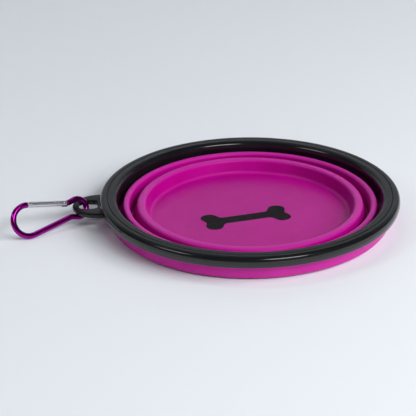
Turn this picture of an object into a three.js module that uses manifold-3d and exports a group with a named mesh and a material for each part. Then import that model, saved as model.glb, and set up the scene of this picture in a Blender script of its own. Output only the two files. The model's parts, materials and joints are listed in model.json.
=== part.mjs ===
// A collapsible travel bowl, folded flat, with a carabiner clipped through the slot of its hang tab.
// Millimetres, +Z up. The bowl's axis is Z, its base rests on z = 0 and the hang tab points along -X.
import * as THREE from "three";
import { mergeVertices } from "three/addons/utils/BufferGeometryUtils.js";
import Module from "manifold-3d";

const wasm = await Module();
wasm.setup();

// Rim: an outer ring with a rolled edge, and an inner ring set into it
const RIM_R = 90;
const RIM_TOP = 16.6;
const ROLL_HEIGHT = 7.7;
const ROLL_ROUND = 1.9;
const ROLL_BULGE = 0.6;
const OUTER_RING_WIDTH = 4.6;
const FLANGE_WIDTH = 10.4;
const FLANGE_THICK = 3;
const INNER_WALL_THICK = 2.6;
const INNER_WALL_HEIGHT = 7.8;
const MOUTH_ROUND = 3;

// Hang tab: a half oval with a rounded slot
const TAB_REACH = 16.3;
const TAB_HALF_WIDTH = 14.5;
const TAB_THICK = 3.1;
const TAB_BELOW_TOP = 4.9;
const TAB_BAR_WIDTH = 4;
const TAB_BEVEL = 0.7;
const SLOT_LENGTH = 10.9;
const SLOT_HALF_WIDTH = 5.6;
const SLOT_CORNER = 3.2;

// Folding wall: the zones of one soft moulding, parted at its living hinges
const SKIRT_TAPER = 3.4;
const WEB_THICK = 1.5;
const UPPER_WEB_RUN = 2.45;
const LOWER_WEB_RUN = 2.65;
const UPPER_CREST_TOP = 12.3;
const LOWER_CREST_TOP = 11.2;
const UPPER_CREST_WIDTH = 2.3;
const LOWER_CREST_WIDTH = 4;
const MIDDLE_LEAN = 1.5;
const MIDDLE_THICK = 1.8;
const BASE_THICK = 2.9;
const DISH_RUN = 3.6;
const DISH_WALL_THICK = 2.2;
const DISH_FILLET = 1.8;
const DISH_LIP_ROUND = 2.8;
const TOE_ROUND = 0.7;

// Carabiner: a pear of round rod, with a gate along one side
const CLIP_LENGTH = 50.3;
const CLIP_WIDTH = 21.8;
const ROD_DIAMETER = 3.5;
const NECK_R = 5.4;
const CLIP_TAPER_DEG = 10.8;
const CLIP_YAW_DEG = 27.8;
const CLIP_LEAN_DEG = 27.5;
const LOOP_INSET = 1.2;
const LOOP_SIDE = 1.2;
const LOOP_RISE = 0.1;
const SHOULDER_LENGTH = 0.6;

// Gate: a slotted bar on a rivet, closed by a plunger and spring in its bore
const HINGE_SETBACK = 2.2;
const LATCH_SETBACK = 2.2;
const TONGUE_THICK = 1.2;
const TONGUE_HALF_HEIGHT = 1.4;
const NOSE_TONGUE_LENGTH = 3.6;
const LIP_DROP = 0.35;
const RIVET_DIAMETER = 1.2;
const RIVET_PROUD = 0.1;
const CAM_R = 1.55;
const CAM_RATE = 0.9;
const CAM_SWEEP_DEG = 40;
const PLUNGER_DIAMETER = 1.2;
const PLUNGER_LENGTH = 3.8;
const SPRING_WIRE = 0.3;
const SPRING_CURLS = 6;
const SPRING_PITCH = 0.85;

// Clearances and facets
const FIT = 0.3;
const HINGE_GAP = 0.3;
const FLOOR_GAP = 0.25;
const PIN_FIT = 0.14;
const SLIDE_FIT = 0.2;
const CAM_GAP = 0.35;
const LATHE_SIDES = 60;
const ROD_SIDES = 10;
const ROD_STEP = 1.6;
const ARC_STEPS = 4;
const CURL_STEPS = 8;
const WIRE_SIDES = 5;

const rad = THREE.MathUtils.degToRad;

// A closed geometry as a solid that can be joined and cut.
function solidOf(geometry) {
  const bare = geometry.index ? geometry.toNonIndexed() : geometry.clone();
  bare.deleteAttribute("normal");
  bare.deleteAttribute("uv");
  const merged = mergeVertices(bare, 1e-4);
  const corners = merged.index.array;
  const kept = [];
  for (let i = 0; i < corners.length; i += 3) {
    const [a, b, c] = [corners[i], corners[i + 1], corners[i + 2]];
    if (a !== b && b !== c && c !== a) {
      kept.push(a, b, c);
    }
  }
  const vertProperties = merged.attributes.position.array;
  return new wasm.Manifold(new wasm.Mesh({ numProp: 3, vertProperties, triVerts: new Uint32Array(kept) }));
}

// A solid back as a flat-shaded geometry.
function geometryOf(solid) {
  const mesh = solid.getMesh();
  const indexed = new THREE.BufferGeometry();
  indexed.setAttribute("position", new THREE.BufferAttribute(mesh.vertProperties, 3));
  indexed.setIndex(new THREE.BufferAttribute(mesh.triVerts, 1));
  const geometry = indexed.toNonIndexed();
  geometry.computeVertexNormals();
  return geometry;
}

// Turns a profile of [radius, height] points, listed anticlockwise, about the bowl's axis.
function turned(profile, closed = true) {
  const points = profile.map(([r, z]) => new THREE.Vector2(r, z));
  if (closed) {
    points.push(points[0].clone());
  }
  return new THREE.LatheGeometry(points, LATHE_SIDES).rotateX(Math.PI / 2);
}

// Points of an oval arc in a profile, from one angle to another in degrees.
function arc(r, z, halfWidth, halfHeight, from, to) {
  return Array.from({ length: ARC_STEPS + 1 }, (_, i) => {
    const angle = rad(from + ((to - from) * i) / ARC_STEPS);
    return [r + halfWidth * Math.cos(angle), z + halfHeight * Math.sin(angle)];
  });
}

// The slanting strip of a fold: round ends, from its low outer end to its high inner end.
function foldStrip(lowR, lowZ, highR, highZ) {
  const half = WEB_THICK / 2;
  const turn = THREE.MathUtils.radToDeg(Math.atan2(lowR - highR, highZ - lowZ));
  return [
    ...arc(lowR, lowZ, half, half, turn - 180, turn),
    ...arc(highR, highZ, half, half, turn, turn + 180),
  ];
}

function plastic(color, roughness) {
  return new THREE.MeshStandardMaterial({ color, roughness, metalness: 0 });
}

function metal(color, roughness) {
  return new THREE.MeshStandardMaterial({ color, roughness, metalness: 1 });
}

const bowl = new THREE.Group();

function piece(parent, name, geometry, material) {
  const mesh = new THREE.Mesh(geometry, material);
  mesh.name = name;
  parent.add(mesh);
}

// Radii and heights that follow from the sizes above, from the rim inwards
const rollBottom = RIM_TOP - ROLL_HEIGHT;
const jointR = RIM_R - OUTER_RING_WIDTH;
const outerRingInR = jointR + FIT / 2;
const innerRingOutR = jointR - FIT / 2;
const mouthR = RIM_R - FLANGE_WIDTH;
const innerWallOutR = mouthR + INNER_WALL_THICK;
const innerWallBottom = RIM_TOP - INNER_WALL_HEIGHT;

const skirtOutR = outerRingInR - FIT;
const skirtInR = innerWallOutR + FIT;
const toeOutR = skirtOutR - SKIRT_TAPER;
const toeInR = skirtInR - SKIRT_TAPER;
const webLowZ = FLOOR_GAP + WEB_THICK / 2;

const upperWebLowR = toeInR - HINGE_GAP - WEB_THICK / 2;
const upperWebHighR = upperWebLowR - UPPER_WEB_RUN;
const upperWebHighZ = UPPER_CREST_TOP - WEB_THICK / 2;
const upperCrestOutR = upperWebHighR - WEB_THICK / 2 - HINGE_GAP;
const upperCrestInR = upperCrestOutR - UPPER_CREST_WIDTH;
const middleToeInR = upperCrestInR - MIDDLE_LEAN;

const lowerWebLowR = middleToeInR - HINGE_GAP - WEB_THICK / 2;
const lowerWebHighR = lowerWebLowR - LOWER_WEB_RUN;
const lowerWebHighZ = LOWER_CREST_TOP - WEB_THICK / 2;
const lowerCrestOutR = lowerWebHighR - WEB_THICK / 2 - HINGE_GAP;
const lowerCrestInR = lowerCrestOutR - LOWER_CREST_WIDTH;
const dishR = lowerCrestInR - DISH_RUN;

// The base cup: a flat base, the sloping wall of the dish and the inner crest that it rolls over into.
function baseCup() {
  const rise = LOWER_CREST_TOP - BASE_THICK;
  const slope = Math.hypot(DISH_RUN, rise);
  const outR = (DISH_WALL_THICK * rise) / slope;
  const downZ = (DISH_WALL_THICK * DISH_RUN) / slope;
  const wallAngle = THREE.MathUtils.radToDeg(Math.atan2(rise, DISH_RUN));
  const filletRun = DISH_FILLET * Math.tan(rad(wallAngle / 2));
  const lipRun = DISH_LIP_ROUND * Math.tan(rad(wallAngle / 2));
  const lipZ = LOWER_CREST_TOP - DISH_LIP_ROUND;
  const underLipZ = LOWER_CREST_TOP - WEB_THICK;
  const underLipR = lowerCrestInR + outR - ((WEB_THICK - downZ) * DISH_RUN) / rise;
  return [
    [0, 0],
    [dishR + outR - downZ, 0],
    [dishR + outR, BASE_THICK - downZ],
    [underLipR, underLipZ],
    [lowerCrestOutR, underLipZ],
    [lowerCrestOutR, LOWER_CREST_TOP - TOE_ROUND],
    [lowerCrestOutR - TOE_ROUND, LOWER_CREST_TOP],
    ...arc(lowerCrestInR + lipRun, lipZ, DISH_LIP_ROUND, DISH_LIP_ROUND, 90, wallAngle + 90),
    ...arc(dishR - filletRun, BASE_THICK + DISH_FILLET, DISH_FILLET, DISH_FILLET, wallAngle - 90, -90),
    [0, BASE_THICK],
  ];
}

// The middle wall: the outer crest and the upright wall that hangs from it.
function middleWall() {
  return [
    [middleToeInR, FIT],
    [middleToeInR + MIDDLE_THICK, FIT],
    [upperCrestOutR, UPPER_CREST_TOP - WEB_THICK],
    [upperCrestOutR, UPPER_CREST_TOP - TOE_ROUND],
    [upperCrestOutR - TOE_ROUND, UPPER_CREST_TOP],
    [upperCrestInR + TOE_ROUND, UPPER_CREST_TOP],
    [upperCrestInR, UPPER_CREST_TOP - TOE_ROUND],
  ];
}

// The skirt: a bead held between the two rings of the rim, and the wall that tapers to the floor.
function skirt() {
  const beadTop = RIM_TOP - FLANGE_THICK - FIT;
  const taperTop = Math.min(innerWallBottom, rollBottom) - FIT;
  return [
    [toeInR + TOE_ROUND, 0],
    [toeOutR - TOE_ROUND, 0],
    [toeOutR, TOE_ROUND],
    [skirtOutR, taperTop],
    [skirtOutR, beadTop],
    [skirtInR, beadTop],
    [skirtInR, taperTop],
    [toeInR, TOE_ROUND],
  ];
}

function rimInnerRing() {
  return [
    [mouthR, innerWallBottom],
    [innerWallOutR, innerWallBottom],
    [innerWallOutR, RIM_TOP - FLANGE_THICK],
    [innerRingOutR, RIM_TOP - FLANGE_THICK],
    [innerRingOutR, RIM_TOP],
    ...arc(mouthR + MOUTH_ROUND, RIM_TOP - MOUTH_ROUND, MOUTH_ROUND, MOUTH_ROUND, 90, 180),
  ];
}

// The outer ring: its face bulges a little between two rounded corners.
function rimOuterRing() {
  const half = ROLL_HEIGHT / 2;
  const cornerR = RIM_R - ROLL_BULGE - ROLL_ROUND;
  const lean = THREE.MathUtils.radToDeg(Math.atan2(ROLL_BULGE, half - ROLL_ROUND));
  return [
    [outerRingInR, rollBottom],
    ...arc(cornerR, rollBottom + ROLL_ROUND, ROLL_ROUND, ROLL_ROUND, -90, -lean),
    [RIM_R, rollBottom + half],
    ...arc(cornerR, RIM_TOP - ROLL_ROUND, ROLL_ROUND, ROLL_ROUND, lean, 90),
    [outerRingInR, RIM_TOP],
  ];
}

// The hang tab in plan, rooted in the outer ring, with the slot cut through it.
const tabEndR = RIM_R + TAB_REACH;
const slotOutR = tabEndR - TAB_BAR_WIDTH;
const slotInR = slotOutR - SLOT_LENGTH;
const tabTop = RIM_TOP - TAB_BELOW_TOP;
const tabMidZ = tabTop - TAB_THICK / 2;

function hangTab() {
  const rootR = outerRingInR + FIT + TAB_BEVEL;
  const plan = new THREE.Shape();
  plan.moveTo(-rootR, -TAB_HALF_WIDTH);
  plan.lineTo(-rootR, TAB_HALF_WIDTH);
  plan.absellipse(-RIM_R, 0, TAB_REACH, TAB_HALF_WIDTH, Math.PI / 2, 1.5 * Math.PI, false);
  const slot = new THREE.Path();
  const across = SLOT_HALF_WIDTH - SLOT_CORNER;
  const nearX = -slotInR - SLOT_CORNER;
  const farX = -slotOutR + SLOT_CORNER;
  slot.absarc(nearX, -across, SLOT_CORNER, 0, -Math.PI / 2, true);
  slot.absarc(farX, -across, SLOT_CORNER, -Math.PI / 2, -Math.PI, true);
  slot.absarc(farX, across, SLOT_CORNER, Math.PI, Math.PI / 2, true);
  slot.absarc(nearX, across, SLOT_CORNER, Math.PI / 2, 0, true);
  plan.holes.push(slot);
  const geometry = new THREE.ExtrudeGeometry(plan, {
    depth: TAB_THICK - 2 * TAB_BEVEL,
    bevelThickness: TAB_BEVEL,
    bevelSize: TAB_BEVEL,
    bevelOffset: -TAB_BEVEL,
    bevelSegments: 2,
    curveSegments: 2 * ARC_STEPS,
  });
  return geometry.translate(0, 0, tabTop - TAB_THICK + TAB_BEVEL);
}

const rimBlack = plastic(0x2c2c2f, 0.38);
const softMagenta = plastic(0xb3259a, 0.55);
const rim = solidOf(turned(rimOuterRing())).add(solidOf(hangTab()));
piece(bowl, "rim_outer_ring", geometryOf(rim), rimBlack);
piece(bowl, "rim_inner_ring", turned(rimInnerRing()), rimBlack.clone());
piece(bowl, "bowl_skirt", turned(skirt()), softMagenta);
const upperStrip = foldStrip(upperWebLowR, webLowZ, upperWebHighR, upperWebHighZ);
piece(bowl, "upper_fold_web", turned(upperStrip), softMagenta.clone());
piece(bowl, "middle_wall", turned(middleWall()), softMagenta.clone());
const lowerStrip = foldStrip(lowerWebLowR, webLowZ, lowerWebHighR, lowerWebHighZ);
piece(bowl, "lower_fold_web", turned(lowerStrip), softMagenta.clone());
piece(bowl, "base_cup", turned(baseCup(), false), softMagenta.clone());

// The carabiner's own frame: x from the narrow end to the wide end, y towards the gate, z across the rod.
const rodR = ROD_DIAMETER / 2;
const wideR = (CLIP_WIDTH - ROD_DIAMETER) / 2;
const wideX = CLIP_LENGTH - ROD_DIAMETER - NECK_R - wideR;
const taper = rad(CLIP_TAPER_DEG);
const sideX = wideX - wideR * Math.sin(taper);
const sideY = wideR * Math.cos(taper);
const loopZ = tabMidZ + LOOP_RISE;

// The pitch at which the wide end's rod just meets the floor, by halving.
function pitchToFloor() {
  const leanZ = Math.cos(rad(CLIP_LEAN_DEG));
  let low = -Math.PI / 4;
  let high = Math.PI / 4;
  for (let i = 0; i < 50; i += 1) {
    const pitch = (low + high) / 2;
    const drop = wideR * Math.hypot(Math.sin(pitch), leanZ * Math.cos(pitch)) + rodR;
    if (loopZ + wideX * Math.sin(pitch) < drop) {
      low = pitch;
    } else {
      high = pitch;
    }
  }
  return high;
}

function carabinerGroup() {
  const yaw = rad(CLIP_YAW_DEG);
  const lean = rad(CLIP_LEAN_DEG);
  const pitch = pitchToFloor();
  const level = Math.cos(pitch);
  const along = new THREE.Vector3(-Math.cos(yaw) * level, -Math.sin(yaw) * level, Math.sin(pitch));
  const side = new THREE.Vector3(Math.sin(yaw), -Math.cos(yaw), 0);
  const upright = along.clone().cross(side);
  const toGate = upright.multiplyScalar(Math.cos(lean)).addScaledVector(side, -Math.sin(lean));
  const across = along.clone().cross(toGate);
  const group = new THREE.Group();
  group.setRotationFromMatrix(new THREE.Matrix4().makeBasis(along, toGate, across));
  group.position.set(-(slotOutR + tabEndR) / 2 + LOOP_INSET, -LOOP_SIDE, loopZ);
  return group;
}

// A round arc in the carabiner's plane, from one angle to another.
class PlaneArc extends THREE.Curve {
  constructor(centreX, radius, from, to) {
    super();
    Object.assign(this, { centreX, radius, from, to });
  }

  getPoint(t, target = new THREE.Vector3()) {
    const angle = this.from + (this.to - this.from) * t;
    return target.set(this.centreX + this.radius * Math.cos(angle), this.radius * Math.sin(angle), 0);
  }
}

// The waist: where each straight side meets the line that touches the narrow arc.
const waistX = NECK_R;
const waistY = sideY - (sideX - waistX) * Math.tan(taper);
const neckAngle = Math.atan2(waistY, waistX) + Math.acos(Math.min(1, NECK_R / Math.hypot(waistX, waistY)));

// The rod's centreline: shoulder, narrow arc, spine and wide arc, up to the nose.
function rodPath() {
  const point = (x, y) => new THREE.Vector3(x, y, 0);
  const neckX = NECK_R * Math.cos(neckAngle);
  const neckY = NECK_R * Math.sin(neckAngle);
  const shoulderX = waistX + SHOULDER_LENGTH * Math.cos(taper);
  const shoulderY = waistY + SHOULDER_LENGTH * Math.sin(taper);
  const path = new THREE.CurvePath();
  path.add(new THREE.LineCurve3(point(shoulderX, shoulderY), point(waistX, waistY)));
  path.add(new THREE.LineCurve3(point(waistX, waistY), point(neckX, neckY)));
  path.add(new PlaneArc(0, NECK_R, neckAngle, 2 * Math.PI - neckAngle));
  path.add(new THREE.LineCurve3(point(neckX, -neckY), point(waistX, -waistY)));
  path.add(new THREE.LineCurve3(point(waistX, -waistY), point(sideX, -sideY)));
  path.add(new PlaneArc(wideX, wideR, -Math.PI / 2 - taper, Math.PI / 2 + taper));
  return path;
}

// The gate's frame: its origin is the hinge rivet, x runs to the nose and y points out of the loop.
const hingeFromWaist = SHOULDER_LENGTH + HINGE_SETBACK;
const hingeX = waistX + hingeFromWaist * Math.cos(taper);
const hingeY = waistY + hingeFromWaist * Math.sin(taper);
const noseX = (sideX - hingeX) / Math.cos(taper);
const latchX = noseX - LATCH_SETBACK;
const gateStart = FIT - HINGE_SETBACK;
const gateEnd = noseX - FIT;
const toGateFrame = new THREE.Matrix4().makeRotationZ(taper).setPosition(hingeX, hingeY, 0);

// A round section of flat sides, to be carried along a curve.
function roundSection(radius, sides) {
  const corner = (i) => new THREE.Vector2(radius, 0).rotateAround(new THREE.Vector2(), (2 * Math.PI * i) / sides);
  return new THREE.Shape(Array.from({ length: sides }, (_, i) => corner(i)));
}

// A plate of the given outline, centred on the carabiner's plane.
function plate(outline, thick) {
  const shape = new THREE.Shape(outline.map(([x, y]) => new THREE.Vector2(x, y)));
  return new THREE.ExtrudeGeometry(shape, { depth: thick, bevelEnabled: false }).translate(0, 0, -thick / 2);
}

function bar(radius, from, to, sides) {
  const geometry = new THREE.CylinderGeometry(radius, radius, to - from, sides);
  return geometry.rotateZ(-Math.PI / 2).translate((from + to) / 2, 0, 0);
}

function pin(x, radius, length) {
  return new THREE.CylinderGeometry(radius, radius, length, ROD_SIDES).rotateX(Math.PI / 2).translate(x, 0, 0);
}

const rivetR = RIVET_DIAMETER / 2;
const rivetLength = ROD_DIAMETER + 2 * RIVET_PROUD;

// The hinge tongue: a lip below, and a cam whose radius grows as the gate turns past it.
function hingeTongue() {
  const rootX = -HINGE_SETBACK - rodR;
  const lipY = -rodR - LIP_DROP;
  const sweep = rad(CAM_SWEEP_DEG);
  const cam = Array.from({ length: 2 * ARC_STEPS + 1 }, (_, i) => {
    const angle = -sweep + (sweep * i) / (2 * ARC_STEPS);
    const r = CAM_R - CAM_RATE * angle;
    return [r * Math.cos(angle), r * Math.sin(angle)];
  });
  const outline = [
    [rootX, -TONGUE_HALF_HEIGHT],
    [-HINGE_SETBACK, -TONGUE_HALF_HEIGHT],
    [-HINGE_SETBACK, lipY],
    [CAM_R / 2, lipY],
    ...cam,
    ...arc(0, 0, CAM_R, TONGUE_HALF_HEIGHT, 30, 90),
    [rootX, TONGUE_HALF_HEIGHT],
  ];
  const hole = pin(0, rivetR + PIN_FIT, ROD_DIAMETER);
  return solidOf(plate(outline, TONGUE_THICK)).subtract(solidOf(hole));
}

// The nose tongue: a notch, open towards the spine, takes the latch rivet.
const noseTip = noseX - NOSE_TONGUE_LENGTH;

function noseTongue() {
  const notchHalf = rivetR + PIN_FIT;
  return solidOf(
    plate(
      [
        [noseTip, -TONGUE_HALF_HEIGHT],
        [latchX - notchHalf, -TONGUE_HALF_HEIGHT],
        [latchX - notchHalf, notchHalf],
        [latchX + notchHalf, notchHalf],
        [latchX + notchHalf, -TONGUE_HALF_HEIGHT],
        [noseX + rodR, -TONGUE_HALF_HEIGHT],
        [noseX + rodR, TONGUE_HALF_HEIGHT],
        [noseTip, TONGUE_HALF_HEIGHT],
      ],
      TONGUE_THICK,
    ),
  );
}

function clipBody() {
  const path = rodPath();
  const rod = new THREE.ExtrudeGeometry(roundSection(rodR, ROD_SIDES), {
    extrudePath: path,
    steps: Math.round(path.getLength() / ROD_STEP),
  });
  const tongues = [hingeTongue(), noseTongue()].map((tongue) => tongue.transform(toGateFrame.elements));
  return solidOf(rod).add(tongues[0]).add(tongues[1]);
}

// The bore behind the hinge slot holds the plunger and, behind it, the spring.
const camTop = CAM_R + CAM_RATE * rad(CAM_SWEEP_DEG);
const boreStart = camTop + FIT;
const plungerR = PLUNGER_DIAMETER / 2;
const plungerTip = CAM_R + CAM_GAP;
const springStart = plungerTip + PLUNGER_LENGTH + SLIDE_FIT + SPRING_WIRE / 2;
const springEnd = springStart + SPRING_CURLS * SPRING_PITCH;
const boreEnd = springEnd + SPRING_WIRE / 2 + SLIDE_FIT;
const boreR = plungerR + SLIDE_FIT;

function gate() {
  const inX = boreStart;
  const slotWide = TONGUE_THICK + 2 * SLIDE_FIT;
  const side = [
    ...arc(0, 0, -gateStart, -gateStart, 180, 270),
    [gateEnd, gateStart],
    [gateEnd, -gateStart],
    [gateStart, -gateStart],
  ];
  const hingeSlot = [
    [gateStart - FIT, -ROD_DIAMETER],
    [inX, -ROD_DIAMETER],
    [inX, ROD_DIAMETER],
    [gateStart - FIT, ROD_DIAMETER],
  ];
  const noseSlot = [
    [noseTip - FIT, -ROD_DIAMETER],
    [gateEnd + FIT, -ROD_DIAMETER],
    [gateEnd + FIT, ROD_DIAMETER],
    [noseTip - FIT, ROD_DIAMETER],
  ];
  let made = solidOf(bar(rodR, gateStart, gateEnd, ROD_SIDES));
  made = made.intersect(solidOf(plate(side, 2 * ROD_DIAMETER)));
  made = made.subtract(solidOf(plate(hingeSlot, slotWide)));
  made = made.subtract(solidOf(plate(noseSlot, slotWide)));
  made = made.subtract(solidOf(bar(boreR, inX - FIT, boreEnd, ROD_SIDES)));
  for (const x of [0, latchX]) {
    made = made.subtract(solidOf(pin(x, rivetR + PIN_FIT, 2 * ROD_DIAMETER)));
  }
  return made;
}

function plunger() {
  const profile = [
    ...arc(0, plungerTip + plungerR, plungerR, plungerR, -90, 0),
    [plungerR, plungerTip + PLUNGER_LENGTH],
    [0, plungerTip + PLUNGER_LENGTH],
  ];
  const points = profile.map(([r, x]) => new THREE.Vector2(r, x));
  return new THREE.LatheGeometry(points, ROD_SIDES).rotateZ(-Math.PI / 2);
}

// The spring's wire, wound about the gate's axis.
class SpringLine extends THREE.Curve {
  getPoint(t, target = new THREE.Vector3()) {
    const angle = 2 * Math.PI * SPRING_CURLS * t;
    const r = plungerR - SPRING_WIRE / 2;
    return target.set(
      springStart + (springEnd - springStart) * t,
      r * Math.cos(angle),
      r * Math.sin(angle),
    );
  }
}

function spring() {
  const steps = SPRING_CURLS * CURL_STEPS;
  const line = new SpringLine();
  const points = line.getSpacedPoints(steps);
  let least = Infinity;
  points.forEach((a, i) => {
    for (const b of points.slice(i + CURL_STEPS - 1)) {
      least = Math.min(least, a.distanceTo(b) - SPRING_WIRE);
    }
  });
  console.log("least gap between the spring's curls: " + least.toFixed(2) + " mm");
  return new THREE.ExtrudeGeometry(roundSection(SPRING_WIRE / 2, WIRE_SIDES), { extrudePath: line, steps });
}

const clip = carabinerGroup();
const gateGroup = new THREE.Group();
gateGroup.applyMatrix4(toGateFrame);
clip.add(gateGroup);
bowl.add(clip);

const anodised = metal(0x8a1d86, 0.3);
const bareAluminium = metal(0xc9ccd0, 0.3);
const steel = metal(0xd6d8da, 0.25);
piece(clip, "carabiner_body", geometryOf(clipBody()), anodised);
piece(gateGroup, "carabiner_gate", geometryOf(gate()), bareAluminium);
piece(gateGroup, "gate_hinge_rivet", pin(0, rivetR, rivetLength), steel);
piece(gateGroup, "gate_latch_rivet", pin(latchX, rivetR, rivetLength), steel.clone());
piece(gateGroup, "gate_plunger", plunger(), steel.clone());
piece(gateGroup, "gate_spring", spring(), steel.clone());

export default bowl;
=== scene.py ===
import json
import math

import bpy
import numpy as np
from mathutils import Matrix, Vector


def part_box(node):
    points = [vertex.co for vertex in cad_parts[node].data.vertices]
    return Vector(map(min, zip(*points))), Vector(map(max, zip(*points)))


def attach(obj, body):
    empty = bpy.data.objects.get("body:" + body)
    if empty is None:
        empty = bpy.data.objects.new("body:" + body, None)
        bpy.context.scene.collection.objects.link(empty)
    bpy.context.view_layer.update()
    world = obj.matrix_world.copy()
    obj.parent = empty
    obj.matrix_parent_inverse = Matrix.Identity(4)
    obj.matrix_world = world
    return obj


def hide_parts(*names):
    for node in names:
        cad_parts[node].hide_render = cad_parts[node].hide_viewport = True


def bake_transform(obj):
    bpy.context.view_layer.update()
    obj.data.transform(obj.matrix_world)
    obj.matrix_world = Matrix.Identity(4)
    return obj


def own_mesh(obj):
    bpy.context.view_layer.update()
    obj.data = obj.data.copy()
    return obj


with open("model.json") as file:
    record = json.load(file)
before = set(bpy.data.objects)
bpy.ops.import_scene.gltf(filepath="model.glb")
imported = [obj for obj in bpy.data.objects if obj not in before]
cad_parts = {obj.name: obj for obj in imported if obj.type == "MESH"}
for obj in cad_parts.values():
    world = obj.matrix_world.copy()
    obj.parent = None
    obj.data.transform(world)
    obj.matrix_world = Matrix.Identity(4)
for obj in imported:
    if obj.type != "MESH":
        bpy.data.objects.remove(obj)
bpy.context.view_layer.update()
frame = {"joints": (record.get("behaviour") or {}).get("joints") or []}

# Base cup: the flat dish that the food lies in, the lowest zone of one silicone moulding.
# Its floor sweeps up into a steep wall, which rolls over into a fat crest that the lower fold hangs from.
DISH_FLOOR = 0.0029
DISH_RUN = 0.0026
DISH_WALL = 0.0022
DISH_FILLET = 0.0024
DISH_LIP_ROUND = 0.002
LOWER_CREST_WIDTH = 0.0031
LOWER_CREST_LAP = 0.0022
CREST_THICK = 0.0027
CREST_EDGE = 0.0004
LOWER_CREST_ROUND = 0.0022
DISH_FOOT_ROUND = 0.0038
# Painted highlights: the silicone is given a paler colour just under the crests' ridges and on the dish's
# fillet.
RIDGE_HIGHLIGHT_FADE = 0.0016
RIDGE_HIGHLIGHT_FULL = 0.0003
FILLET_HIGHLIGHT_STEP = 0.0007
FILLET_HIGHLIGHT_SHARE = 0.6
RING_SIDES = 256
ON_AXIS = 1e-9
SAME_POINT = 1e-7
SHARP_EDGE = math.radians(40)
HIGHLIGHT_SPAN = 0.02
COLOUR_NOISE = (0.35, 0.65)
GLOSS_NOISE = (0.3, 0.7)
MIX_SHARE, MIX_VALUES, MIX_COLOURS = 0, (2, 3), (6, 7)
MIXED_VALUE, MIXED_COLOUR = 0, 2
SILICONE_DARK = (0.435, 0.0005, 0.238)
SILICONE_LIGHT = (0.47, 0.001, 0.26)
# The colour of the painted highlights on the silicone.
SILICONE_HIGHLIGHT = (0.53, 0.018, 0.325)


def rounded_outline(corners, steps=9, runs=5):
    """A closed outline of straight runs and round corners, as one array of points.

    Each corner is (x, y, radius). Its arc touches both runs at radius / tan(half the angle between
    them) from the corner, and a rational quadratic curve through the corner is exactly that arc.
    Each run then gets a few points of its own, closer together near its ends.
    """
    corners = np.array(corners, float)
    at, radius = corners[:, :2], corners[:, 2:]
    back = np.roll(at, 1, 0) - at
    ahead = np.roll(at, -1, 0) - at
    back /= np.linalg.norm(back, axis=1, keepdims=True)
    ahead /= np.linalg.norm(ahead, axis=1, keepdims=True)
    half = np.arccos(np.clip((back * ahead).sum(1, keepdims=True), -1, 1)) / 2
    reach = radius / np.tan(half)
    start, end = at + back * reach, at + ahead * reach
    t = np.linspace(0, 1, steps)[None, :, None]
    leave, pull, join = (1 - t) ** 2, 2 * t * (1 - t) * np.sin(half)[:, None], t**2
    arcs = leave * start[:, None] + pull * at[:, None] + join * end[:, None]
    arcs /= leave + pull + join
    share = (1 - np.cos(np.pi * np.arange(1, runs) / runs))[None, :, None] / 2
    between = end[:, None] * (1 - share) + np.roll(start, -1, 0)[:, None] * share
    outline = np.concatenate([arcs, between], 1).reshape(-1, 2)
    step = np.linalg.norm(outline - np.roll(outline, 1, 0), axis=1)
    return outline[step > SAME_POINT]


def grid_faces(rows, columns, close_rows):
    """Quads of a grid of points whose columns close on themselves, and whose rows may too."""
    row = np.arange(rows if close_rows else rows - 1)[:, None]
    column = np.arange(columns)[None, :]
    after_row, after_column = (row + 1) % rows, (column + 1) % columns
    corners = (
        row * columns + column,
        row * columns + after_column,
        after_row * columns + after_column,
        after_row * columns + column,
    )
    return np.stack(corners, -1).reshape(-1, 4).tolist()


def capped(rings, first_pole, last_pole):
    """A stack of rings closed at each end by a fan of triangles to one point."""
    rows, columns = rings.shape[:2]
    points = np.concatenate([rings.reshape(-1, 3), [first_pole, last_pole]])
    column = np.arange(columns)
    after = (column + 1) % columns
    low = np.stack([np.full(columns, rows * columns), after, column], -1)
    top = (rows - 1) * columns
    high = np.stack([np.full(columns, rows * columns + 1), top + column, top + after], -1)
    return points, grid_faces(rows, columns, close_rows=False) + low.tolist() + high.tolist()


def new_piece(name, points, faces, material, slot=None):
    """A smooth mesh object at the origin, with its sharp edges left crisp."""
    mesh = bpy.data.meshes.new(name)
    mesh.from_pydata(points.reshape(-1, 3).tolist(), [], faces)
    mesh.shade_smooth()
    mesh.set_sharp_from_angle(angle=SHARP_EDGE)
    mesh.materials.append(material)
    piece = bpy.data.objects.new(name, mesh)
    bpy.context.scene.collection.objects.link(piece)
    return piece


def turned_piece(name, outline, material, slot):
    """An outline of (r, z) carried round the bowl's axis: points (r cos a, r sin a, z).

    An outline that runs along the axis leaves that stretch out, and its ends become poles.
    """
    angle = np.linspace(0, 2 * np.pi, RING_SIDES, endpoint=False)
    off_axis = outline[:, 0] > ON_AXIS
    r, z = outline[off_axis, 0, None], outline[off_axis, 1, None]
    rings = np.stack([r * np.cos(angle), r * np.sin(angle), z + 0 * angle], -1)
    if off_axis.all():
        return new_piece(name, rings, grid_faces(*rings.shape[:2], close_rows=True), material, slot)
    pole_z = outline[~off_axis, 1]
    points, faces = capped(rings, (0, 0, pole_z.min()), (0, 0, pole_z.max()))
    return new_piece(name, points, faces, material, slot)


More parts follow.
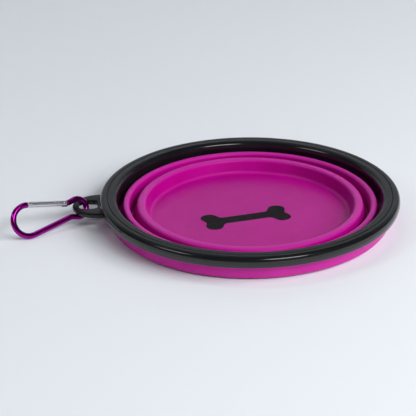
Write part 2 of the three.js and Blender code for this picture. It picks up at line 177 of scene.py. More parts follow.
class Finish:
    """A principled material, with short calls for the nodes that shape its colour, gloss and grain."""

    def __init__(self, name, **values):
        self.material = bpy.data.materials.new(name)
        self.material.use_nodes = True
        self.tree = self.material.node_tree
        self.shader = self.tree.nodes["Principled BSDF"]
        for word, value in values.items():
            socket = word.replace("_", " ").title().replace("Ior", "IOR")
            self.shader.inputs[socket].default_value = value

    def noise(self, scale, detail):
        """Noise on the object's own coordinates, in features per metre."""
        place = self.tree.nodes.new("ShaderNodeTexCoord")
        noise = self.tree.nodes.new("ShaderNodeTexNoise")
        noise.inputs["Scale"].default_value = scale
        noise.inputs["Detail"].default_value = detail
        self.tree.links.new(place.outputs["Object"], noise.inputs["Vector"])
        return noise.outputs["Fac"]

    def height(self):
        """The height of each point, on the object's own coordinates."""
        place = self.tree.nodes.new("ShaderNodeTexCoord")
        parts = self.tree.nodes.new("ShaderNodeSeparateXYZ")
        self.tree.links.new(place.outputs["Object"], parts.inputs["Vector"])
        return parts.outputs["Z"]

    def spread(self, value, low, high, onto):
        """Maps the middle of a noise to a range and puts it on a socket of the shader."""
        ranged = self.tree.nodes.new("ShaderNodeMapRange")
        for end, limit in zip(("From Min", "From Max", "To Min", "To Max"), (*GLOSS_NOISE, low, high)):
            ranged.inputs[end].default_value = limit
        self.tree.links.new(value, ranged.inputs["Value"])
        self.tree.links.new(ranged.outputs["Result"], self.shader.inputs[onto])

    def tint(self, value, dark, light):
        """Varies the base colour between two colours, over the middle of a noise."""
        ramp = self.tree.nodes.new("ShaderNodeValToRGB")
        for step, position, colour in zip(ramp.color_ramp.elements, COLOUR_NOISE, (dark, light)):
            step.position = position
            step.color = (*colour, 1)
        self.tree.links.new(value, ramp.inputs["Fac"])
        self.tree.links.new(ramp.outputs["Color"], self.shader.inputs["Base Color"])
        return ramp.outputs["Color"]

    def paint_highlights(self, colour, highlight_colour, heights):
        """Painted highlights: a paler colour mixed in at some heights of the object, by a ramp of (height,
        share) steps.
        """
        level = self.tree.nodes.new("ShaderNodeMapRange")
        level.inputs["From Max"].default_value = HIGHLIGHT_SPAN
        share = self.tree.nodes.new("ShaderNodeValToRGB")
        steps = share.color_ramp.elements
        while len(steps) < len(heights):
            steps.new(0.5)
        for step, (height, amount) in zip(steps, heights):
            step.position = height / HIGHLIGHT_SPAN
            step.color = (amount, amount, amount, 1)
        mix = self.tree.nodes.new("ShaderNodeMix")
        mix.data_type = "RGBA"
        under, over = (mix.inputs[place] for place in MIX_COLOURS)
        over.default_value = (*highlight_colour, 1)
        self.tree.links.new(self.height(), level.inputs["Value"])
        self.tree.links.new(level.outputs["Result"], share.inputs["Fac"])
        self.tree.links.new(share.outputs["Color"], mix.inputs[MIX_SHARE])
        self.tree.links.new(colour, under)
        self.tree.links.new(mix.outputs[MIXED_COLOUR], self.shader.inputs["Base Color"])

    def higher_than(self, height):
        """One above a height of the object, and nought below it."""
        higher = self.tree.nodes.new("ShaderNodeMath")
        higher.operation = "GREATER_THAN"
        point, limit = higher.inputs[:2]
        limit.default_value = height
        self.tree.links.new(self.height(), point)
        return higher.outputs["Value"]

    def choose(self, switch, below, above, onto):
        """Puts one of two values on a socket of the shader, by a switch of nought or one."""
        mix = self.tree.nodes.new("ShaderNodeMix")
        self.tree.links.new(switch, mix.inputs[MIX_SHARE])
        for place, value in zip(MIX_VALUES, (below, above)):
            mix.inputs[place].default_value = value
        self.tree.links.new(mix.outputs[MIXED_VALUE], self.shader.inputs[onto])

    def grain(self, value, depth):
        """Raises the surface by a noise, to a depth in metres."""
        bump = self.tree.nodes.new("ShaderNodeBump")
        bump.inputs["Strength"].default_value = 1
        bump.inputs["Distance"].default_value = depth
        self.tree.links.new(value, bump.inputs["Height"])
        self.tree.links.new(bump.outputs["Normal"], self.shader.inputs["Normal"])


def soft_silicone(name, heights=((0, 0), (HIGHLIGHT_SPAN, 0)), dark=SILICONE_DARK, light=SILICONE_LIGHT):
    """Matt magenta silicone: a faint cloudiness in colour and gloss, and a fine moulded grain.

    It gets painted highlights: a paler colour at the heights it is given.
    """
    finish = Finish(name, specular_ior_level=0.15)
    clouds = finish.tint(finish.noise(scale=45, detail=4), dark, light)
    finish.paint_highlights(clouds, SILICONE_HIGHLIGHT, heights)
    finish.spread(finish.noise(scale=160, detail=4), low=0.30, high=0.38, onto="Roughness")
    finish.grain(finish.noise(scale=2600, detail=2), depth=0.000006)
    return finish.material


lower_crest_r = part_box("base_cup")[1].x + LOWER_CREST_LAP
lower_crest_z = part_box("base_cup")[1].z
lower_crest_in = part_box("base_cup")[1].x - LOWER_CREST_WIDTH
dish_r = lower_crest_in - DISH_RUN
dish_slope = math.atan2(lower_crest_z - DISH_FLOOR, DISH_RUN)
wall_out = DISH_WALL * math.sin(dish_slope)
wall_down = DISH_WALL * math.cos(dish_slope)
crest_under_r = lower_crest_in + wall_out - (CREST_THICK - wall_down) / math.tan(dish_slope)
dish_outline = rounded_outline(
    [
        (0, 0, 0),
        (dish_r + wall_out - wall_down, 0, DISH_FOOT_ROUND),
        (crest_under_r, lower_crest_z - CREST_THICK, CREST_EDGE),
        (lower_crest_r, lower_crest_z - CREST_THICK, CREST_EDGE),
        (lower_crest_r, lower_crest_z, LOWER_CREST_ROUND),
        (lower_crest_in, lower_crest_z, DISH_LIP_ROUND),
        (dish_r, DISH_FLOOR, DISH_FILLET),
        (0, DISH_FLOOR, 0),
    ]
)
# Painted highlights on the dish: a paler band on the fillet at the foot of its wall, and one along its
# crest's ridge.
dish_painted_highlights = (
    (DISH_FLOOR, 0),
    (DISH_FLOOR + FILLET_HIGHLIGHT_STEP, FILLET_HIGHLIGHT_SHARE),
    (DISH_FLOOR + 2 * FILLET_HIGHLIGHT_STEP, 0),
    (lower_crest_z - RIDGE_HIGHLIGHT_FADE, 0),
    (lower_crest_z - RIDGE_HIGHLIGHT_FULL, 1),
)
dish_silicone = soft_silicone("dish_silicone", dish_painted_highlights)
base_dish = turned_piece("base_dish", dish_outline, dish_silicone, "soft_silicone")
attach(base_dish, "base")
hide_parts("base_cup")

# Lower fold: the thin slanting web of the same silicone between the base cup's crest and the foot of
# the middle wall. It turns inside out when the bowl is pulled open.
WEB_WALL = 0.0015
WEB_TUCK_IN = 0.001
WEB_TUCK_DOWN = 0.0015
WEB_END_SHARE = 0.98
silicone = soft_silicone("soft_silicone")


def fold_web(name, node, crest):
    """A slanting strip of even wall with round ends, carried round the bowl's axis.

    Its foot is in the low outer corner of the node's box, and its top is tucked in under the crest.
    """
    low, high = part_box(node)
    half = WEB_WALL / 2
    foot = np.array([high.x - half, low.z + half])
    top = np.array(crest) - [WEB_TUCK_IN, WEB_TUCK_DOWN]
    along = (top - foot) / np.linalg.norm(top - foot) * half
    out = np.array([along[1], -along[0]])
    ends = (foot - along - out, foot - along + out, top + along + out, top + along - out)
    outline = rounded_outline([(*end, half * WEB_END_SHARE) for end in ends], runs=16)
    web = turned_piece(name, outline, silicone, "soft_silicone")
    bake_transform(web)
    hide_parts(node)


fold_web("lower_fold", "lower_fold_web", (lower_crest_r, lower_crest_z))

# Middle wall: the leaning band between the two folds, with a rounded crest of its own.
# It is the same moulding, and it snaps up as one stiff ring.
UPPER_CREST_WIDTH = 0.0021
UPPER_CREST_LAP = 0.0018
UPPER_CREST_ROUND = 0.0016
UPPER_LIP_ROUND = 0.0019
UPPER_CREST_DROP = 0.0006
MIDDLE_LEAN = 0.001
MIDDLE_WALL = 0.0018
FOOT_INSET = 0.0014
FOOT_THICK = 0.0015
upper_crest_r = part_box("middle_wall")[1].x + UPPER_CREST_LAP
upper_crest_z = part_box("middle_wall")[1].z - UPPER_CREST_DROP
upper_crest_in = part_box("middle_wall")[1].x - UPPER_CREST_WIDTH
middle_toe_in = upper_crest_in - MIDDLE_LEAN
middle_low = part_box("middle_wall")[0].z
middle_foot_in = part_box("lower_fold_web")[1].x - FOOT_INSET
middle_outline = rounded_outline(
    [
        (middle_foot_in, middle_low, CREST_EDGE),
        (middle_toe_in + MIDDLE_WALL, middle_low, CREST_EDGE),
        (upper_crest_in + MIDDLE_WALL, upper_crest_z - CREST_THICK, CREST_EDGE),
        (upper_crest_r, upper_crest_z - CREST_THICK, CREST_EDGE),
        (upper_crest_r, upper_crest_z, UPPER_CREST_ROUND),
        (upper_crest_in, upper_crest_z, UPPER_LIP_ROUND),
        (middle_toe_in, middle_low + FOOT_THICK, CREST_EDGE),
        (middle_foot_in, middle_low + FOOT_THICK, CREST_EDGE),
    ],
    runs=8,
)
# Painted highlight: a paler band along the middle wall's crest ridge.
middle_painted_highlights = ((upper_crest_z - RIDGE_HIGHLIGHT_FADE, 0), (upper_crest_z - RIDGE_HIGHLIGHT_FULL, 1))
middle_silicone = soft_silicone("middle_silicone", middle_painted_highlights)
middle_band = turned_piece("middle_band", middle_outline, middle_silicone, "soft_silicone")
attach(middle_band, "middle")
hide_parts("middle_wall")

# Upper fold: the second thin web of the same moulding, between the middle wall's crest and the toe of
# the skirt. It turns inside out in the same way when the rim is pulled up.
fold_web("upper_fold", "upper_fold_web", (upper_crest_r, upper_crest_z))

# Skirt: the outermost zone of the moulding. Its thick bead is trapped between the two rim rings,
# and below the rim it tapers in to a rounded toe, just clear of the floor when the bowl is flat.
# Its colour is made paler than the dish's: painted light, standing in for light that soaks through it from
# both sides.
SKIRT_WALL = 0.00275
SKIRT_TAPER = 0.0013
TOE_LIFT = 0.0009
TOE_ROUND = 0.0018
BEND_ROUND = 0.0009
# Painted light: the skirt's colours are paler than the dish's.
LIT_SKIRT_DARK = (0.51, 0.022, 0.295)
LIT_SKIRT_LIGHT = (0.55, 0.028, 0.32)
skirt_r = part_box("bowl_skirt")[1].x
bead_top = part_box("bowl_skirt")[1].z
rim_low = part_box("rim_outer_ring")[0].z
toe_in = skirt_r - SKIRT_TAPER - SKIRT_WALL
skirt_foot_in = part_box("upper_fold_web")[1].x - FOOT_INSET
skirt_outline = rounded_outline(
    [
        (skirt_foot_in, TOE_LIFT, CREST_EDGE),
        (skirt_r - SKIRT_TAPER, TOE_LIFT, TOE_ROUND),
        (skirt_r, rim_low, BEND_ROUND),
        (skirt_r, bead_top, CREST_EDGE),
        (skirt_r - SKIRT_WALL, bead_top, CREST_EDGE),
        (skirt_r - SKIRT_WALL, rim_low, BEND_ROUND),
        (toe_in, TOE_LIFT + FOOT_THICK, CREST_EDGE),
        (skirt_foot_in, TOE_LIFT + FOOT_THICK, CREST_EDGE),
    ],
    runs=8,
)
lit_skirt_silicone = soft_silicone("lit_skirt_silicone", dark=LIT_SKIRT_DARK, light=LIT_SKIRT_LIGHT)
skirt_wall = turned_piece("skirt_wall", skirt_outline, lit_skirt_silicone, "soft_silicone")
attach(skirt_wall, "rim")
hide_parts("bowl_skirt")

# Rim, inner ring: black moulded plastic. Its flange lies flush with the outer ring, with a fine joint
# line between them, and rolls over into a short wall that grips the skirt's bead from inside.
# A thin black lip carries that wall lower: a dark piece put in as painted shade, so that the gap beside the
# folds stays dark.
FLANGE_THICK = 0.003
FLANGE_WIDTH = 0.0104
INNER_WALL = 0.0026
MOUTH_ROUND = 0.003
JOINT_ROUND = 0.00015
# Painted shade: the black lip hangs down into the gap beside the folds.
SHADE_LIP_DROP = 0.0045
SHADE_LIP_THIN = 0.0009
JOINT_DEPTH = 0.0008
JOINT_LAP = 0.0005
SATIN_DEPTH = 0.0009
POLISH_ROUGHNESS = 0.14
SATIN_ROUGHNESS = 0.33
PLASTIC_DARK = (0.005, 0.005, 0.006)
PLASTIC_LIGHT = (0.008, 0.008, 0.0095)


def rim_plastic(name, top, polish, satin):
    """Black plastic with faint clouds of colour: polished, but satin on its top and the edges beside it."""
    finish = Finish(name)
    finish.tint(finish.noise(scale=60, detail=4), PLASTIC_DARK, PLASTIC_LIGHT)
    on_top = finish.higher_than(top - SATIN_DEPTH)
    finish.choose(on_top, below=POLISH_ROUGHNESS, above=SATIN_ROUGHNESS, onto="Roughness")
    finish.choose(on_top, below=polish, above=satin, onto="Specular IOR Level")
    finish.grain(finish.noise(scale=3200, detail=2), depth=0.0000012)
    return finish.material


rim_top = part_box("rim_inner_ring")[1].z
black_plastic = rim_plastic("rim_plastic", rim_top, polish=0.6, satin=0.19)
rim_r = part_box("rim_outer_ring")[1].x
mouth_r = rim_r - FLANGE_WIDTH
inner_out_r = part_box("rim_inner_ring")[1].x
inner_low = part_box("rim_inner_ring")[0].z
inner_outline = rounded_outline(
    [
        (mouth_r, inner_low - SHADE_LIP_DROP, SHADE_LIP_THIN / 4),
        (mouth_r + SHADE_LIP_THIN, inner_low - SHADE_LIP_DROP, SHADE_LIP_THIN / 4),
        (mouth_r + INNER_WALL, inner_low, SHADE_LIP_THIN),
        (mouth_r + INNER_WALL, rim_top - FLANGE_THICK, JOINT_ROUND),
        (inner_out_r + JOINT_LAP, rim_top - FLANGE_THICK, JOINT_ROUND),
        (inner_out_r + JOINT_LAP, rim_top - JOINT_DEPTH, JOINT_ROUND),
        (inner_out_r, rim_top - JOINT_DEPTH, JOINT_ROUND),
        (inner_out_r, rim_top, JOINT_ROUND),
        (mouth_r, rim_top, MOUTH_ROUND),
    ],
    steps=14,
)
rim_inner = turned_piece("rim_inner", inner_outline, black_plastic, "rim_plastic")
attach(rim_inner, "rim")
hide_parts("rim_inner_ring")

# Rim, outer ring: the same black plastic, with a fat rolled edge that is smooth to the hand.
# Its face bulges a little between two rounded corners. It shuts the skirt's bead in from outside.
ROLL_HEIGHT = 0.0071
ROLL_TOP_ROUND = 0.0026
ROLL_LOW_ROUND = 0.0019
NOSE_DROP = 0.0034
NOSE_ROUND = 0.004
FACE_LEAN = math.radians(15)
RING_GAP = 0.0004
outer_in_r = inner_out_r + RING_GAP
nose_r = rim_r + NOSE_ROUND * (1 / math.cos(FACE_LEAN) - 1)
roll_low = rim_top - ROLL_HEIGHT
roll_low_r = nose_r - (ROLL_HEIGHT - NOSE_DROP) * math.tan(FACE_LEAN)
roll_top_r = nose_r - NOSE_DROP * math.tan(FACE_LEAN)
roll_outline = rounded_outline(
    [
        (outer_in_r, roll_low, JOINT_ROUND),
        (roll_low_r, roll_low, ROLL_LOW_ROUND),
        (nose_r, rim_top - NOSE_DROP, NOSE_ROUND),
        (roll_top_r, rim_top, ROLL_TOP_ROUND),
        (outer_in_r, rim_top, JOINT_ROUND),
    ],
    steps=14,
)
rim_roll = turned_piece("rim_roll", roll_outline, black_plastic, "rim_plastic")
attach(rim_roll, "rim")
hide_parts("rim_outer_ring")

# Hang tab: a half oval moulded on to the outer ring, low on its face, with a rounded slot for a clip.
# All its edges are rounded over, so that the outer bar is nearly a round rod.
TAB_REACH = 0.0163
TAB_HALF_WIDTH = 0.0145
TAB_THICK = 0.0031
TAB_EDGE = 0.001
TAB_ROOT = 0.0025
BAR_WIDTH = 0.004
SLOT_LENGTH = 0.0109
SLOT_HALF_WIDTH = 0.0056
SLOT_CORNER = 0.0032
TAB_STEPS = 160
OVAL_STEPS = 80
ROOT_STEPS = 20
tab_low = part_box("rim_outer_ring")[0].z
tab_end = rim_r + TAB_REACH
slot_x = -(tab_end - BAR_WIDTH - SLOT_LENGTH / 2)


def outline_reach(outline, directions):
    """How far a convex outline about the origin reaches in each direction, read off its own points."""
    turn = np.unwrap(np.arctan2(outline[:, 1], outline[:, 0]))
    order = np.argsort(turn)
    return np.interp(directions, turn[order], np.hypot(*outline.T)[order], period=2 * np.pi)


def tab_surface():
    """A closed band between the tab's outer edge and its slot, with a rounded section.

    Each direction from the slot's middle has a section across the band: a box with round corners,
    whose near side is the slot's edge and whose far side is the tab's edge.
    """
    direction = np.linspace(-np.pi, np.pi, TAB_STEPS, endpoint=False)
    turn = np.linspace(-np.pi / 2, np.pi / 2, OVAL_STEPS)
    oval = np.stack([-rim_r - TAB_REACH * np.cos(turn), -TAB_HALF_WIDTH * np.sin(turn)], -1)
    side = np.linspace(0, 1, ROOT_STEPS)[1:, None]
    root = np.array([TAB_ROOT, 0])
    outer = np.concatenate(
        [
            oval,
            oval[-1] + root * side,
            oval[-1] + root + (oval[0] - oval[-1]) * side,
            oval[0] + root * (1 - side[:-1]),
        ]
    )
    half_length = SLOT_LENGTH / 2
    slot = rounded_outline(
        [
            (half_length * x, SLOT_HALF_WIDTH * y, SLOT_CORNER)
            for x, y in ((-1, -1), (1, -1), (1, 1), (-1, 1))
        ],
        runs=16,
    )
    far = outline_reach(outer - [slot_x, 0], direction)
    near = outline_reach(slot, direction)
    section = rounded_outline(
        [(x, z, TAB_EDGE) for x, z in ((-1, 0), (1, 0), (1, TAB_THICK), (-1, TAB_THICK))],
        runs=1,
    )
    from_end = 1 - np.abs(section[:, 0, None])
    reach = np.where(section[:, 0, None] > 0, far - from_end, near + from_end)
    x, y = slot_x + reach * np.cos(direction), reach * np.sin(direction)
    z = tab_low + section[:, 1, None]
    return np.stack([x, y, z + 0 * direction], -1)


tab_points = tab_surface()
tab_faces = grid_faces(*tab_points.shape[:2], close_rows=True)
tab_plastic = rim_plastic("tab_plastic", tab_low + TAB_THICK, polish=0.4, satin=0.12)
hang_tab = new_piece("hang_tab", tab_points, tab_faces, tab_plastic, "rim_plastic")
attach(hang_tab, "rim")
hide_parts("rim_outer_ring")

# Print: a plain bone in black ink on the dish's floor, too thin to feel.
# Its outline is straight runs with round corners, hollow at the waist and between the knuckles.
PRINT_CENTRE = (-0.003, -0.007)
PRINT_TURN = math.radians(14)
PRINT_RISE = 0.00005
PRINT_SINK = 0.0002
BONE_QUARTER = [
    (0.0145, 0.0042, 0.003),
    (0.0185, 0.0112, 0.0045),
    (0.0285, 0.0098, 0.005),
    (0.0245, 0, 0.0035),
]
INK_DARK = (0.004, 0.003, 0.004)
INK_LIGHT = (0.007, 0.005, 0.007)


def flat_plate(outline, low, high):
    """An outline in plan drawn out between two heights and closed by its two flat faces."""
    count = len(outline)
    points = [np.column_stack([outline, np.full(count, height)]) for height in (low, high)]
    ends = [list(range(count))[::-1], list(range(count, 2 * count))]
    return np.concatenate(points), grid_faces(2, count, close_rows=False) + ends


def print_ink():
    """Black screen ink: a thin, slightly uneven film."""
    finish = Finish("print_ink", specular_ior_level=0.06)
    finish.tint(finish.noise(scale=400, detail=4), INK_DARK, INK_LIGHT)
    finish.spread(finish.noise(scale=900, detail=3), low=0.4, high=0.5, onto="Roughness")
    return finish.material


bone = np.array(BONE_QUARTER)
mirror_x, mirror_y = np.array([-1, 1, 1]), np.array([1, -1, 1])
bone_corners = np.concatenate(
    [
        bone[::-1],
        (bone * mirror_x)[:-1],
        (bone * mirror_x * mirror_y)[::-1],
        (bone * mirror_y)[:-1],
    ]
)
print_cos, print_sin = math.cos(PRINT_TURN), math.sin(PRINT_TURN)
bone_turn = np.array([[print_cos, print_sin], [-print_sin, print_cos]])
bone_outline = rounded_outline(bone_corners) @ bone_turn + PRINT_CENTRE
bone_plate = flat_plate(bone_outline, DISH_FLOOR - PRINT_SINK, DISH_FLOOR + PRINT_RISE)
bone_print = new_piece("bone_print", *bone_plate, print_ink(), "rim_plastic")
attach(bone_print, "base")

# Carabiner body: a pear of bent aluminium rod, anodised purple, hooked through the tab's slot.
# A flat tongue at its shoulder carries the gate's hinge, and one at its nose has the notch that the
# latch rivet drops into.
ROD_R = 0.00175
NECK_R = 0.0054
WIDE_R = 0.00915
WIDE_X = 0.03225
CLIP_TAPER = math.radians(10.8)
SHOULDER = 0.0006
HINGE_SETBACK = 0.0022
LATCH_SETBACK = 0.0022
ROD_STEP = 0.0003
ROD_SIDES = 40
ROD_END_ROUND = 0.0003
NECK_STEPS = 60
WIDE_STEPS = 80
BEND_EASE = 4
END_STEPS = 7
TONGUE_THICK = 0.0012
TONGUE_HALF = 0.0014
TONGUE_LENGTH = 0.0036
LIP_LOW = -0.0021
CAM_R = 0.00155
CAM_RATE = 0.0009
CAM_SWEEP = math.radians(40)
CAM_STEPS = 12
TIP_START = math.radians(8)
TIP_STEPS = 10
RIVET_R = 0.0006
PIN_FIT = 0.00014
CARVED_SHARP = math.radians(30)
DYE_DARK = (0.36, 0.009, 0.29)
DYE_LIGHT = (0.42, 0.012, 0.34)

joints = {joint["name"]: joint for joint in frame["joints"]}
gate_x = np.array(joints["plunger_slide"]["axis"], float)
gate_z = -np.array(joints["gate_open"]["axis"], float)
gate_x /= np.linalg.norm(gate_x)
gate_z /= np.linalg.norm(gate_z)
gate_axes = np.stack([gate_x, np.cross(gate_z, gate_x), gate_z])
hinge = np.array(joints["gate_open"]["pos_m"], float)
wide_side = np.array([WIDE_X - WIDE_R * math.sin(CLIP_TAPER), WIDE_R * math.cos(CLIP_TAPER)])
waist = np.array([NECK_R, wide_side[1] - (wide_side[0] - NECK_R) * math.tan(CLIP_TAPER)])
along_gate = np.array([math.cos(CLIP_TAPER), math.sin(CLIP_TAPER)])
hinge_in_clip = waist + (SHOULDER + HINGE_SETBACK) * along_gate
nose_x = (wide_side - hinge_in_clip) @ along_gate
latch_x = nose_x - LATCH_SETBACK


def gate_placed(points, faces):
    """A shape given along the gate, out of the loop and across the rod from the hinge, put in place."""
    return hinge + np.asarray(points).reshape(-1, 3) @ gate_axes, faces


def run_along(line):
    """The distance along a line of points, at each of them."""
    return np.concatenate([[0], np.cumsum(np.linalg.norm(np.diff(line, axis=0), axis=1))])


def rod_line():
    """The rod's centre line in the gate's frame: shoulder, narrow arc, spine and wide arc to the nose.

    It is stepped evenly, and a running mean over a few steps eases its bends.
    """
    touch = math.atan2(waist[1], waist[0]) + math.acos(min(1, NECK_R / np.hypot(*waist)))
    neck = np.linspace(touch, 2 * np.pi - touch, NECK_STEPS)
    wide = np.linspace(-np.pi / 2 - CLIP_TAPER, np.pi / 2 + CLIP_TAPER, WIDE_STEPS)
    line = np.concatenate(
        [
            [waist + SHOULDER * along_gate, waist],
            NECK_R * np.stack([np.cos(neck), np.sin(neck)], -1),
            [waist * [1, -1]],
            [WIDE_X, 0] + WIDE_R * np.stack([np.cos(wide), np.sin(wide)], -1),
        ]
    )
    run = run_along(line)
    step = np.linspace(0, run[-1], round(run[-1] / ROD_STEP))
    line = np.stack([np.interp(step, run, part) for part in line.T], -1)
    padded = np.pad(line, ((BEND_EASE, BEND_EASE), (0, 0)), mode="reflect", reflect_type="odd")
    mean = np.ones(2 * BEND_EASE + 1) / (2 * BEND_EASE + 1)
    eased = np.stack([np.convolve(part, mean, mode="valid") for part in padded.T], -1) - hinge_in_clip
    out_of_loop = np.array([-along_gate[1], along_gate[0]])
    return np.stack([eased @ along_gate, eased @ out_of_loop, np.zeros(len(eased))], -1)


def swept_rod(line, radius, edge, step, sides=ROD_SIDES, across=(0, 0, 1)):
    """A round rod along a line of points, with flat ends whose edges are rounded.

    A ring stands square to the line at each step. Near an end its radius follows a quarter circle:
    at edge (1 - cos t) along the line it is radius - edge (1 - sin t).
    """
    run = run_along(line)
    turn = np.linspace(0, np.pi / 2, END_STEPS)
    near, lost = edge * (1 - np.cos(turn)), edge * (1 - np.sin(turn))
    body = np.linspace(edge, run[-1] - edge, max(2, round(run[-1] / step)))[1:-1]
    place = np.concatenate([near, body, run[-1] - near[::-1]])
    ring_r = radius - np.concatenate([lost, 0 * body, lost[::-1]])
    heading = np.gradient(line, axis=0)
    centre = np.stack([np.interp(place, run, part) for part in line.T], -1)
    ahead = np.stack([np.interp(place, run, part) for part in heading.T], -1)
    ahead /= np.linalg.norm(ahead, axis=1, keepdims=True)
    side = np.cross(across, ahead)
    side /= np.linalg.norm(side, axis=1, keepdims=True)
    up = np.cross(ahead, side)
    angle = np.linspace(0, 2 * np.pi, sides, endpoint=False)[None, :, None]
    outward = np.cos(angle) * side[:, None] + np.sin(angle) * up[:, None]
    rings = centre[:, None] + ring_r[:, None, None] * outward
    return capped(rings, line[0], line[-1])


def straight_rod(start, end, radius, edge):
    """A straight round rod between two points of the gate's frame."""
    line = np.linspace(start, end, 3)
    across = (0, 0, 1) if abs(line[-1, 2] - line[0, 2]) < ON_AXIS else (1, 0, 0)
    return swept_rod(line, radius, edge, ROD_STEP, ROD_SIDES, across)


def carve(piece, operation, shapes):
    """Joins shapes to a piece, or cuts them from it, and keeps the result as its mesh."""
    tools = []
    for points, faces in shapes:
        tool = new_piece(piece.name + "_tool", *gate_placed(points, faces), piece.data.materials[0])
        cut = piece.modifiers.new("carve", "BOOLEAN")
        cut.operation = operation
        cut.solver = "EXACT"
        cut.object = tool
        tools.append(tool)
    graph = bpy.context.evaluated_depsgraph_get()
    made = bpy.data.meshes.new_from_object(piece.evaluated_get(graph))
    made.set_sharp_from_angle(angle=CARVED_SHARP)
    piece.modifiers.clear()
    piece.data = made
    for tool in tools:
        bpy.data.objects.remove(tool)


def anodised_purple():
    """Dyed bright aluminium: a clear metal colour, deeper in places, with fine tumbling marks."""
    finish = Finish("anodised_purple", metallic=1)
    finish.tint(finish.noise(scale=500, detail=4), DYE_DARK, DYE_LIGHT)
    finish.spread(finish.noise(scale=1500, detail=4), low=0.09, high=0.15, onto="Roughness")
    finish.grain(finish.noise(scale=4000, detail=2), depth=0.0000005)
    return finish.material


through = 2 * ROD_R
pin_hole = RIVET_R + PIN_FIT
cam_turn = np.linspace(-CAM_SWEEP, 0, CAM_STEPS)
cam_r = CAM_R - CAM_RATE * cam_turn
over = np.linspace(TIP_START, np.pi / 2, TIP_STEPS)
hinge_tongue = np.concatenate(
    [
        [(-HINGE_SETBACK - ROD_R, -TONGUE_HALF), (-HINGE_SETBACK, -TONGUE_HALF)],
        [(-HINGE_SETBACK, LIP_LOW), (CAM_R / 2, LIP_LOW)],
        np.stack([cam_r * np.cos(cam_turn), cam_r * np.sin(cam_turn)], -1),
        np.stack([CAM_R * np.cos(over), TONGUE_HALF * np.sin(over)], -1),
        [(-HINGE_SETBACK - ROD_R, TONGUE_HALF)],
    ]
)
nose_tip = nose_x - TONGUE_LENGTH
nose_tongue = np.array(
    [
        (nose_tip, -TONGUE_HALF),
        (latch_x - pin_hole, -TONGUE_HALF),
        (latch_x - pin_hole, pin_hole),
        (latch_x + pin_hole, pin_hole),
        (latch_x + pin_hole, -TONGUE_HALF),
        (nose_x + ROD_R, -TONGUE_HALF),
        (nose_x + ROD_R, TONGUE_HALF),
        (nose_tip, TONGUE_HALF),
    ]
)
tongue_z = TONGUE_THICK / 2
tongues = [flat_plate(outline, -tongue_z, tongue_z) for outline in (hinge_tongue, nose_tongue)]
hinge_pin_hole = straight_rod((0, 0, -through), (0, 0, through), pin_hole, PIN_FIT)
rod_shape = gate_placed(*swept_rod(rod_line(), ROD_R, ROD_END_ROUND, ROD_STEP))
clip_rod = new_piece("clip_rod", *rod_shape, anodised_purple(), "anodised_aluminium")
carve(clip_rod, "UNION", tongues)
carve(clip_rod, "DIFFERENCE", [hinge_pin_hole])
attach(clip_rod, "carabiner")
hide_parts("carabiner_body")

# Gate: a bare aluminium bar, slotted at both ends to straddle the two tongues and bored for its spring.
# Its lower corner at the hinge is rounded, so that it clears the shoulder as it swings into the loop.
GATE_FIT = 0.0003
SLOT_WIDE = 0.0016
BORE_R = 0.0008
BORE_END = 0.0115
GATE_EDGE = 0.00035
SWING_STEPS = 16
ALUMINIUM_DARK = (0.66, 0.68, 0.71)
ALUMINIUM_LIGHT = (0.74, 0.76, 0.79)
gate_start = GATE_FIT - HINGE_SETBACK
gate_end = nose_x - GATE_FIT
bore_start = CAM_R + CAM_RATE * CAM_SWEEP + GATE_FIT


def bare_aluminium():
    """Drawn and tumbled aluminium: bright under a thin pale film of oxide."""
    finish = Finish("bare_aluminium", metallic=0.85)
    finish.tint(finish.noise(scale=700, detail=4), ALUMINIUM_DARK, ALUMINIUM_LIGHT)
    finish.spread(finish.noise(scale=2500, detail=4), low=0.12, high=0.18, onto="Roughness")
    finish.grain(finish.noise(scale=5000, detail=2), depth=0.0000003)
    return finish.material


def gate_block(start, end, half_width):
    """A block across the whole bar, from one distance along the gate to another."""
    outline = np.array([(start, -through), (end, -through), (end, through), (start, through)])
    return flat_plate(outline, -half_width, half_width)


swing_turn = np.linspace(np.pi, 1.5 * np.pi, SWING_STEPS)
past_gate = gate_end + GATE_FIT
swing_outline = np.concatenate(
    [
        -gate_start * np.stack([np.cos(swing_turn), np.sin(swing_turn)], -1),
        [(past_gate, gate_start), (past_gate, -gate_start), (gate_start, -gate_start)],
    ]
)
bar_shape = straight_rod((gate_start, 0, 0), (gate_end, 0, 0), ROD_R, GATE_EDGE)
clip_gate = new_piece("clip_gate", *gate_placed(*bar_shape), bare_aluminium(), "bare_aluminium")
carve(clip_gate, "INTERSECT", [flat_plate(swing_outline, -through, through)])
gate_cuts = [
    gate_block(gate_start - GATE_FIT, bore_start, SLOT_WIDE / 2),
    gate_block(nose_tip - GATE_FIT, past_gate, SLOT_WIDE / 2),
    straight_rod((bore_start - GATE_FIT, 0, 0), (BORE_END, 0, 0), BORE_R, PIN_FIT),
    hinge_pin_hole,
    straight_rod((latch_x, 0, -through), (latch_x, 0, through), pin_hole, PIN_FIT),
]
carve(clip_gate, "DIFFERENCE", gate_cuts)
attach(clip_gate, "gate")
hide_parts("carabiner_gate")

# Rivets: two short plated steel pins through the gate's forked ends, domed just proud of the bar.
# The hinge rivet also passes through the shoulder's tongue; the latch rivet sits in the nose's notch.
RIVET_PROUD = 0.00012
RIVET_DOME = 0.00035
STEEL_DARK = (0.66, 0.67, 0.68)
STEEL_LIGHT = (0.76, 0.77, 0.78)


def bright_steel():
    """Plated steel: bright, with faint clouds and fine scratches."""
    finish = Finish("bright_steel", metallic=1)
    finish.tint(finish.noise(scale=900, detail=3), STEEL_DARK, STEEL_LIGHT)
    finish.spread(finish.noise(scale=3000, detail=4), low=0.18, high=0.28, onto="Roughness")
    finish.grain(finish.noise(scale=6000, detail=2), depth=0.0000003)
    return finish.material


